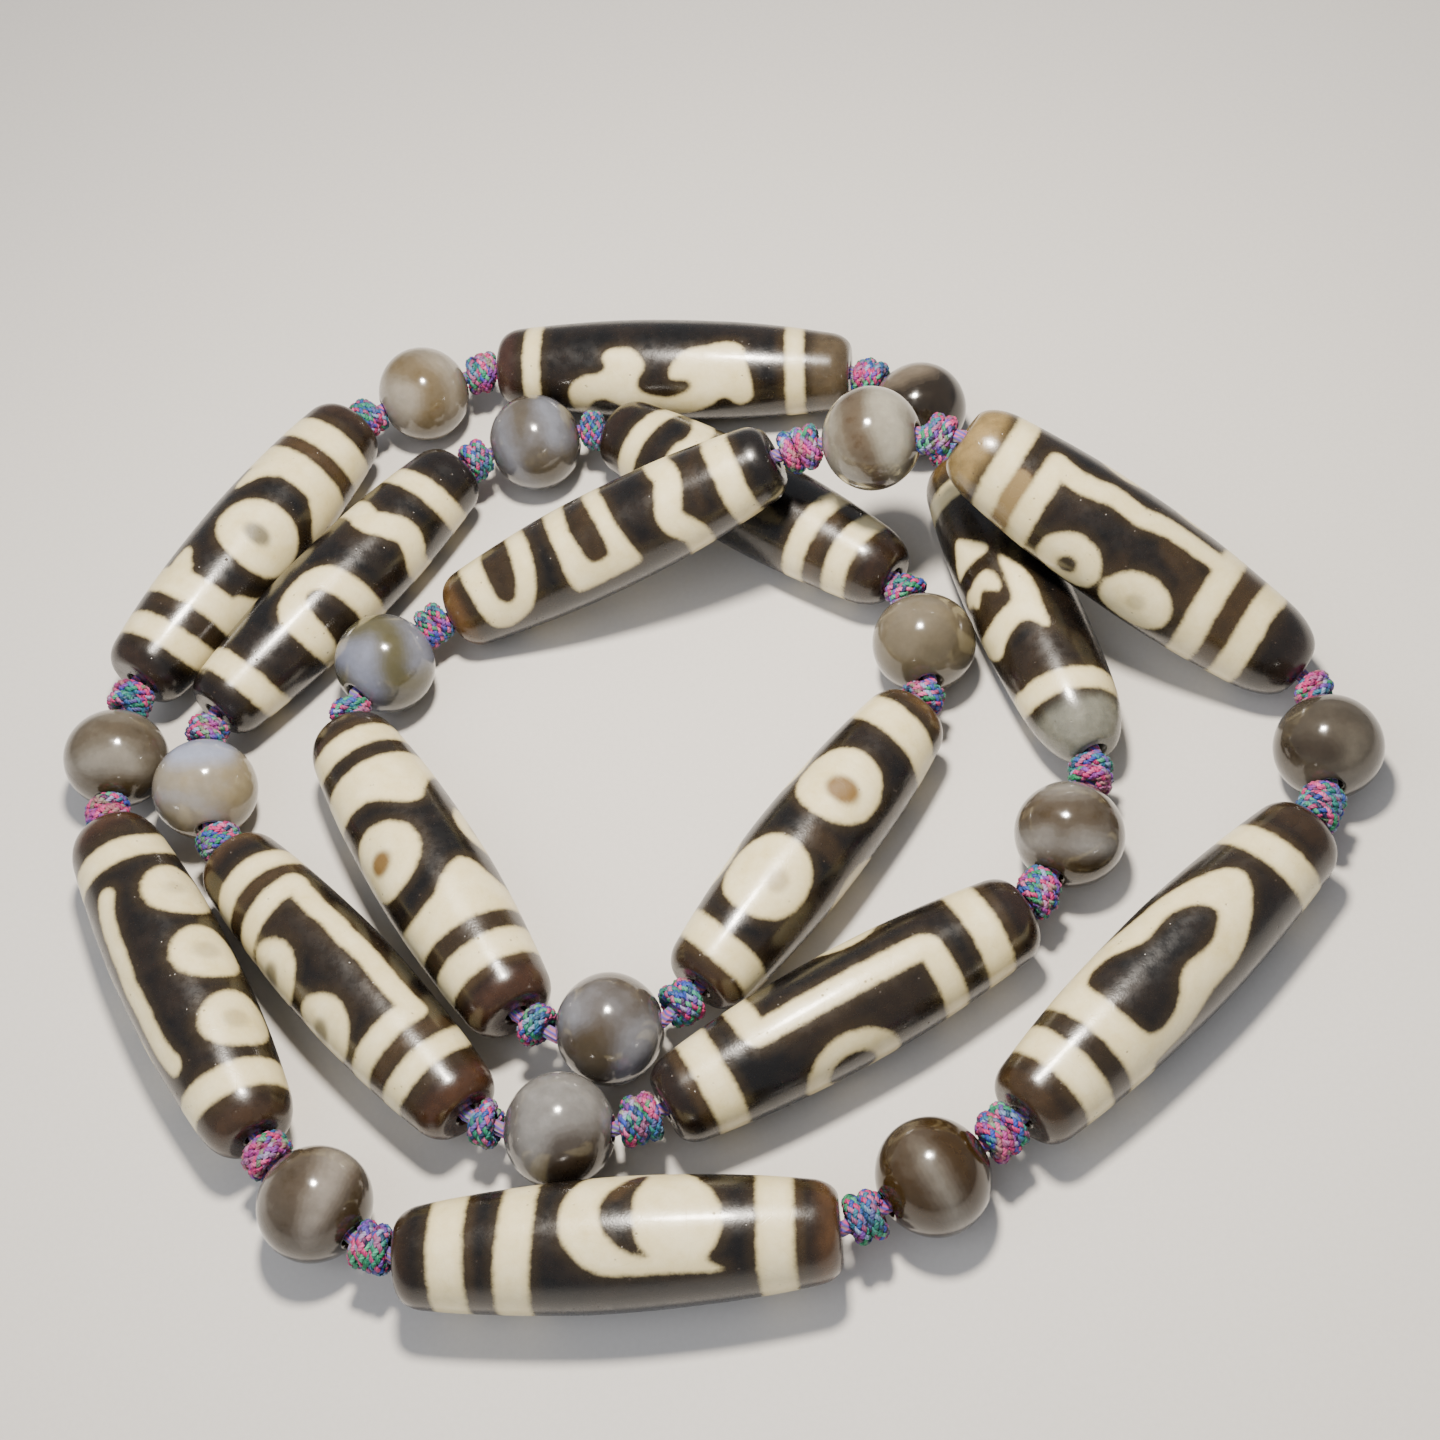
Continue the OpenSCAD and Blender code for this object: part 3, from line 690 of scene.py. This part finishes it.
def knot_line(k):
    """Middle, way, half length and radius of a knot, measured on its CAD node's points. Knots
    stand by turns before and after the round beads, and lie halfway between their ways."""
    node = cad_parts["knot_%02d" % (k + 1)]
    flat = np.empty(len(node.data.vertices) * 3, dtype=np.float32)
    node.data.vertices.foreach_get("co", flat)
    points = flat.reshape(-1, 3) / MM
    way = unit(round_bead_line(k // 2)[1] + long_bead_line(k // 2 + k % 2)[1])
    middle = (points.min(0) + points.max(0)) / 2
    along = (points - middle) @ way
    middle = middle + way * (along.min() + along.max()) / 2
    rest = points - middle
    rest = rest - np.outer(rest @ way, way)
    return middle, way, (along.max() - along.min()) / 2, np.linalg.norm(rest, axis=1).max()


def wound_line(middle, way, half, radius, start, lean_at):
    """Course of the cord that is wound into a knot. It circles the string at the knot's
    radius less its own, climbs steadily between a flat turn at each end, tucks in at both
    ends, and leans to one side by a sine that fades towards them."""
    side = unit(np.cross(way, [0.3, 0.2, 1.0]))
    cord = CORD_ACROSS / 2
    travel = half - cord
    turns = 2 * travel / (CORD_ACROSS * WRAP_PITCH) + SPARE_TURNS
    t = np.linspace(0, 1, int(turns * STEPS_A_TURN))
    around = start + 2 * pi * turns * t
    climb = travel * (2 * np.clip((t * turns - FLAT_TURNS) / (turns - 2 * FLAT_TURNS), 0, 1) - 1)
    tuck = blend_between(0, TUCK_TURNS, t * turns) * blend_between(0, TUCK_TURNS, (1 - t) * turns)
    out = (radius - cord) * (TUCK_REACH + (1 - TUCK_REACH) * tuck)
    lean = LEAN * np.sin(around - lean_at) * np.clip(1 - np.abs(climb) / (travel + 0.3), 0.1, 1)
    round_way = np.outer(np.cos(around), side) + np.outer(np.sin(around), np.cross(way, side))
    return middle + np.outer(climb + lean, way) + out[:, None] * round_way


def make_knot(k, material):
    """One knot: a cord wound in close turns round the string, itself braided from twelve
    strands. A strand circles the cord's line at a radius that rises and falls with each
    crossing, plus for one hand and minus for the other, and is an oval in section."""
    middle, way, half, radius = knot_line(k)
    rng = np.random.default_rng(KNOT_SEED + k)
    line = wound_line(middle, way, half, radius, *rng.uniform(0, 2 * pi, 2))
    ahead = unit(np.gradient(line, axis=0))
    outwards = line - middle
    for lost in (way, ahead):
        outwards = outwards - np.sum(outwards * lost, axis=1, keepdims=True) * lost
    outwards = unit(outwards)
    run = np.concatenate([[0], np.cumsum(np.linalg.norm(np.diff(line, axis=0), axis=1))])
    at = np.linspace(0, run[-1], int(run[-1] / RING_SPACE))
    base, head, out_way, cross_way = [
        np.stack([np.interp(at, run, column) for column in values.T], 1)
        for values in (line, ahead, outwards, np.cross(ahead, outwards))
    ]
    # Arrays over the strands, the rings along each of them, and the ring's four corners.
    hand = np.repeat([1, -1], CARRIERS)[:, None]
    carrier = np.tile(np.arange(CARRIERS), 2)[:, None]
    mean = CORD_ACROSS / 2 - WEAVE - STRAND_THICK
    swing = hand * 2 * pi * at / BRAID_TURN + 2 * pi * carrier / CARRIERS
    rise = mean + hand * WEAVE * np.cos(2 * pi * CARRIERS * at / BRAID_TURN)
    cosine, sine = np.cos(swing)[..., None], np.sin(swing)[..., None]
    radial = cosine * out_way + sine * cross_way
    round_way = cosine * cross_way - sine * out_way
    ahead = unit(head + round_way * (hand * 2 * pi * mean / BRAID_TURN)[..., None])
    wide = np.cross(ahead, radial)
    rings = len(at)
    from_end = np.minimum(np.arange(rings), np.arange(rings)[::-1])
    shut = np.clip(from_end / 2, 0.02, 1)[:, None, None]
    corner = (np.arange(4) * pi / 2 + pi / 4)[:, None]
    oval = STRAND_WIDE * np.cos(corner) * wide[:, :, None]
    oval = oval + STRAND_BULGE * STRAND_THICK * np.sin(corner) * radial[:, :, None]
    points = (base + rise[..., None] * radial)[:, :, None] + shut * oval
    caps = np.array([[0, 1, 2, 3], [3, 2, 1, 0]]) + [[0], [4 * (rings - 1)]]
    strand = np.vstack([woven_faces(rings, 4, False), caps])
    first = np.arange(2 * CARRIERS)[:, None, None] * 4 * rings
    order = rng.permutation(np.arange(2 * CARRIERS) % len(THREADS))
    # The fibres' pattern: along the strand, round it, and apart for each strand.
    spot = [(at * 1.4)[:, None], np.arange(4) / 4, (carrier + 5 * hand)[..., None]]
    faces = (strand + first).reshape(-1, 4)
    dress(
        k, "cord_knot", "knot", "braided_cord", points, faces, material,
        thread=np.repeat([linear(THREADS[i]) for i in order], 4 * rings, axis=0),
        strand_place=np.stack(np.broadcast_arrays(*spot), -1).reshape(-1, 3),
    )


def feed(node, inputs):
    """Fills a node's inputs, by name or number from a dict or in their order from a tuple: a
    socket is linked, anything else is the input's value."""
    for key, value in inputs.items() if isinstance(inputs, dict) else enumerate(inputs):
        if isinstance(value, bpy.types.NodeSocket):
            node.id_data.links.new(value, node.inputs[key])
        else:
            node.inputs[key].default_value = value


def add_node(tree, kind, inputs=(), out=0, **settings):
    """Adds one shader node, sets its settings, fills its inputs and gives back one output."""
    node = tree.nodes.new("ShaderNode" + kind)
    for key, value in settings.items():
        setattr(node, key, value)
    feed(node, inputs)
    return node.outputs[out]


# A mix of two colours: its share, its two colours, and what sets it up and picks its result.
SHARE = 0
UNDER = 6
OVER = 7
COLOURS = {"out": 2, "data_type": "RGBA"}


def new_material(name):
    """An empty material, what adds its nodes, and its shader, joined to its output."""
    material = bpy.data.materials.new(name)
    material.use_nodes = True
    tree = material.node_tree
    tree.nodes.clear()
    shader = tree.nodes.new("ShaderNodeBsdfPrincipled")
    feed(tree.nodes.new("ShaderNodeOutputMaterial"), {"Surface": shader.outputs[0]})
    return material, partial(add_node, tree), shader


def millimetres(add):
    """Object coordinates in mm, so that every pattern's scale is per mm."""
    place = add("TexCoord", out="Object")
    return add("VectorMath", {0: place, "Scale": 1 / MM}, operation="SCALE")


def polished_etched_agate():
    """Agate stained near black and etched with ivory lines, tumbled to a wet-looking polish.
    The eye reads it from the soft brown edge of each line, warm cloudy ivory, natural brown
    ends, and a few pits in a bright even gloss."""
    material, add, shader = new_material("polished_etched_agate")
    mm = millimetres(add)
    etch, amber, grey, warm, end_share = [
        add("Attribute", out="Fac", attribute_name=name)
        for name in ("etch", "amber_heart", "grey_heart", "warm_stain", "end_share")
    ]
    # Patches to a mm, octaves and roughness: brown clouds in the black 4.5 mm apart, veils in
    # the ivory 3 mm, mottled ends and pitted places 1.5 mm, waves of the polish 1 mm, and the
    # grain of the stone 0.2 mm.
    cloud, veil, mottled, pitted, wavy, grain = [
        add("TexNoise", {"Vector": mm, "Scale": scale, "Detail": detail, "Roughness": rough})
        for scale, detail, rough in (
            (0.22, 5, 0.62), (0.35, 6, 0.7), (0.7, 5, 0.65), (0.6, 1, 0.5), (0.9, 4, 0.6), (4.5, 2, 0.5)
        )
    ]
    # The acid ate the edge of the etching unevenly, by some tenths of a mm either way.
    edge = add("Math", (etch, -0.21), operation="ADD")
    for part, reach in ((wavy, 0.42), (grain, 0.14)):
        edge = add("Math", (part, reach, edge), operation="MULTIPLY_ADD")
    # By mm from that edge: the ivory itself, the brown halo outside it, the palest ivory.
    ivory_here, halo, deep = [
        add("MapRange", (edge, low, high), interpolation_type="SMOOTHSTEP")
        for low, high in ((-0.22, 0.42), (-1.4, 0.1), (0.2, 1.0))
    ]
    # Stained stone: near black with brown clouds, mottled natural stone at the ends, the
    # halo, and warm stain that turns to tan where it is thinnest.
    cloud = add("MapRange", (cloud, 0.42, 0.72))
    mottled = add("MapRange", (mottled, 0.25, 0.75, 0.6, 1.25))
    ends = add("Attribute", out="Color", attribute_name="end_stone")
    ends = add("VectorMath", {0: ends, "Scale": mottled}, operation="SCALE")
    halo = add("Math", (halo, 0.8), operation="MULTIPLY")
    thin = add("Math", (warm, -1.0), operation="ADD", use_clamp=True)
    warm = add("Math", (warm, mottled), operation="MULTIPLY", use_clamp=True)
    stained = linear("#0B0908")
    for share, over in (
        (cloud, linear("#1F1710")),
        (end_share, ends),
        (halo, linear("#2B2111")),
        (warm, linear("#3B2C18")),
        (thin, linear("#86714A")),
    ):
        stained = add("Mix", {SHARE: share, UNDER: stained, OVER: over}, **COLOURS)
    # Etched lines: warm ivory, clouded, tan at the rim, with tinted hearts in the eyes.
    veil = add("MapRange", (veil, 0.35, 0.7))
    ivory = {SHARE: veil, UNDER: linear("#DED2A8"), OVER: linear("#CCBC88")}
    ivory = add("Mix", ivory, **COLOURS)
    ivory = add("Mix", {SHARE: deep, UNDER: linear("#CCBD8D"), OVER: ivory}, **COLOURS)
    for share, heart in ((grey, "#504A38"), (amber, "#6B522B")):
        ivory = add("Mix", {SHARE: share, UNDER: ivory, OVER: linear(heart)}, **COLOURS)
    colour = add("Mix", {SHARE: ivory_here, UNDER: stained, OVER: ivory}, **COLOURS)
    # Pits 0.3 mm across in a few places, and crazing in the ivory, drawn 0.1 mm wide to show.
    pit = add("TexVoronoi", {"Vector": mm, "Scale": 1.1})
    pit = add("MapRange", (pit, 0.06, 0.16, 1.0, 0.0))
    pitted = add("MapRange", (pitted, 0.55, 0.62))
    pit = add("Math", (pit, pitted), operation="MULTIPLY")
    crack = add("TexVoronoi", {"Vector": mm, "Scale": 0.42}, feature="DISTANCE_TO_EDGE")
    crack = add("MapRange", (crack, 0.0, 0.02, 1.0, 0.0))
    for share in (ivory_here, 0.1):
        crack = add("Math", (crack, share), operation="MULTIPLY")
    flaw = add("Math", (pit, crack), operation="MAXIMUM")
    shade = add("Math", (flaw, 0.55), operation="MULTIPLY")
    colour = add("Mix", {SHARE: shade, UNDER: colour, OVER: linear("#3A2A1A")}, **COLOURS)
    # The etched lines lie a little deeper than the polish and are a little duller.
    gloss = add("MapRange", (wavy, 0.3, 0.75, 0.2, 0.36))
    for part, share in ((ivory_here, 0.07), (flaw, 0.3)):
        gloss = add("Math", (part, share, gloss), operation="MULTIPLY_ADD")
    relief = add("Math", (flaw, -1.0), operation="MULTIPLY")
    for part, share in ((ivory_here, -0.25), (wavy, 0.1), (grain, 0.2)):
        relief = add("Math", (part, share, relief), operation="MULTIPLY_ADD")
    bump = add("Bump", {"Height": relief, "Strength": 0.5, "Distance": 0.08 * MM})
    feed(shader, {"Base Color": colour, "Roughness": gloss, "Normal": bump, "IOR": AGATE_IOR})
    feed(shader, {"Coat Weight": 0.2, "Coat Roughness": 0.12, "Subsurface Weight": 0.06})
    feed(shader, {"Subsurface Radius": (1.0, 0.6, 0.35), "Subsurface Scale": 1.2 * MM})
    return material


def translucent_banded_agate():
    """Round polished agate with natural layers. The eye reads it from broad soft bands of
    brown and milky grey that curve through the ball, depth under a clear gloss, and fine
    lines inside each band."""
    material, add, shader = new_material("translucent_banded_agate")
    paleness = add("Attribute", out="Fac", attribute_name="paleness")
    place = add("Attribute", out="Vector", attribute_name="layer_place")
    # Patches to a mm: swirls of the layers and clouds in them 2 mm apart, smears of the
    # polish 0.8 mm.
    swirl, cloud, smear = [
        add("TexNoise", {"Vector": place, "Scale": scale, "Detail": detail, "Roughness": rough})
        for scale, detail, rough in ((0.45, 4, 0.6), (0.5, 5, 0.65), (1.3, 3, 0.5))
    ]
    swirl = add("Math", (swirl, -0.5), operation="ADD")
    bent = add("Math", (swirl, 0.55, paleness), operation="MULTIPLY_ADD")
    # Fine lines follow the layers: about five of them from the darkest to the palest.
    lines = add("Math", (bent, 34.0), operation="MULTIPLY")
    lines = add("Math", (lines,), operation="SINE")
    layer = add("Math", (lines, 0.02, bent), operation="MULTIPLY_ADD", use_clamp=True)
    layer = add("Math", (layer, 1.4), operation="POWER")
    dark, pale = [
        add("Attribute", out="Color", attribute_name=name)
        for name in ("dark_layer", "pale_layer")
    ]
    colour = add("Mix", {SHARE: layer, UNDER: dark, OVER: pale}, **COLOURS)
    cloud = add("MapRange", (cloud, 0.25, 0.75, 0.82, 1.12))
    colour = add("VectorMath", {0: colour, "Scale": cloud}, operation="SCALE")
    gloss = add("MapRange", (smear, 0.3, 0.7, 0.1, 0.2))
    bump = add("Bump", {"Height": smear, "Strength": 0.25, "Distance": 0.04 * MM})
    feed(shader, {"Base Color": colour, "Roughness": gloss, "Normal": bump, "IOR": AGATE_IOR})
    feed(shader, {"Coat Weight": 0.3, "Coat Roughness": 0.05, "Subsurface Weight": 0.22})
    feed(shader, {"Subsurface Radius": (1.0, 0.85, 0.7), "Subsurface Scale": 2.5 * MM})
    return material


def braided_thread():
    """Shiny many-coloured polyester braid. The eye reads it from single strands of pink,
    green, blue and violet that cross over and under, twisted fibres, and a soft sheen."""
    material, add, shader = new_material("braided_polyester_thread")
    mm = millimetres(add)
    hue = add("Attribute", out="Color", attribute_name="thread")
    place = add("Attribute", out="Vector", attribute_name="strand_place")
    # Fibres, drawn 0.2 mm apart so that they show, far coarser than the real ones.
    fibre = {"Vector": place, "Scale": 2.2, "Distortion": 1.5, "Detail": 2}
    fibre = add("TexWave", fibre, "Fac", bands_direction="DIAGONAL")
    fade = add("TexNoise", {"Vector": mm, "Scale": 1.6, "Detail": 3})
    tone = add("MapRange", (fade, 0.3, 0.7, 0.4, 0.85))
    tone = add("Math", (fibre, 0.3, tone), operation="MULTIPLY_ADD")
    # The threads are dyed in lengths of about 3 mm, so pink or blue-green gathers on one side
    # of a knot.
    dye = add("TexNoise", {"Vector": mm, "Scale": 0.33, "Detail": 1})
    for low, high, most, tint in ((0.52, 0.66, 0.62, THREADS[0]), (0.48, 0.34, 0.55, "#1F5C74")):
        share = add("MapRange", (dye, low, high, 0.0, most))
        hue = add("Mix", {SHARE: share, UNDER: hue, OVER: linear(tint)}, **COLOURS)
    colour = add("VectorMath", {0: hue, "Scale": tone}, operation="SCALE")
    rough = add("MapRange", (fade, 0.3, 0.7, 0.5, 0.75))
    bump = add("Bump", {"Height": fibre, "Strength": 0.6, "Distance": 0.06 * MM})
    feed(shader, {"Base Color": colour, "Roughness": rough, "Normal": bump})
    feed(shader, {"Sheen Weight": 0.06, "Sheen Roughness": 0.4})
    return material


def string_core():
    """The cord where it runs between a knot and a bead: the same braid seen in millimetres
    only, so its colours are crossing slanted stripes in the threads' own hues."""
    material, add, shader = new_material("braided_polyester_core")
    mm = millimetres(add)
    # Threads about half a mm wide, in slanted stripes about 1 mm apart.
    pick = add("TexVoronoi", {"Vector": mm, "Scale": 1.8, "Randomness": 0.8}, "Color")
    pick = add("SeparateColor", (pick,))
    warm, cool = [
        add("Mix", {SHARE: pick, UNDER: linear(THREADS[i]), OVER: linear(THREADS[i + 1])}, **COLOURS)
        for i in (0, 2)
    ]
    weave = {"Vector": mm, "Scale": 0.9, "Distortion": 2.0}
    weave = add("TexWave", weave, "Fac", bands_direction="DIAGONAL")
    colour = add("Mix", {SHARE: weave, UNDER: warm, OVER: cool}, **COLOURS)
    rough = add("MapRange", (weave, 0.0, 1.0, 0.55, 0.8))
    bump = add("Bump", {"Height": weave, "Strength": 0.6, "Distance": 0.1 * MM})
    feed(shader, {"Base Color": colour, "Roughness": rough, "Normal": bump, "Sheen Weight": 0.3})
    return material


def pale_table():
    """Plain pale matt table with a faint tooth, so that the beads' shadows read softly."""
    material, add, shader = new_material("pale_matt_table")
    tooth = add("TexNoise", {"Vector": millimetres(add), "Scale": 2.0, "Detail": 3})
    tone = {SHARE: tooth, UNDER: linear("#C2BEB7"), OVER: linear("#CBC7C1")}
    feed(shader, {"Base Color": add("Mix", tone, **COLOURS), "Roughness": 0.7})
    return material


def hang_light(name, place, size, power, colour, mirrored=True):
    """A soft round lamp at a place in mm, turned to face the middle of the string. A lamp that
    is not mirrored lights the stones without a second bright spot in their polish."""
    lamp = bpy.data.lights.new(name, "AREA")
    lamp.shape = "DISK"
    lamp.size = size * MM
    lamp.energy = power
    lamp.color = linear(colour)[:3]
    place = np.array(place, dtype=float)
    back = unit(place)
    right = unit(np.cross([0.0, 1.0, 0.02], back))
    stand(name, lamp, right, np.cross(back, right), back, place).visible_glossy = mirrored


dzi_stone = polished_etched_agate()
layered_stone = translucent_banded_agate()
thread = braided_thread()
for k in range(len(LONG_BEADS)):
    make_long_bead(k, dzi_stone)
for k in range(len(ROUND_BEADS)):
    make_round_bead(k, layered_stone)
for k in range(2 * len(LONG_BEADS)):
    make_knot(k, thread)
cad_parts["cord"].material_slots[0].material = string_core()

corners = np.array([[-1, -1, 0], [1, -1, 0], [1, 1, 0], [-1, 1, 0]]) * TABLE_REACH
put_mesh("table", corners, np.array([[0, 1, 2, 3]]), pale_table())
hang_light("key_light", (5, 15, 195), 30, 1.05, "#FFF6EA")
hang_light("fill_light", (-700, -520, 760), 1500, 12.0, "#EEF3FF", False)
world = bpy.data.worlds.new("soft_room")
world.use_nodes = True
feed(world.node_tree.nodes["Background"], {"Color": (0.9, 0.93, 1.0, 1.0), "Strength": 0.34})
bpy.context.scene.world = world
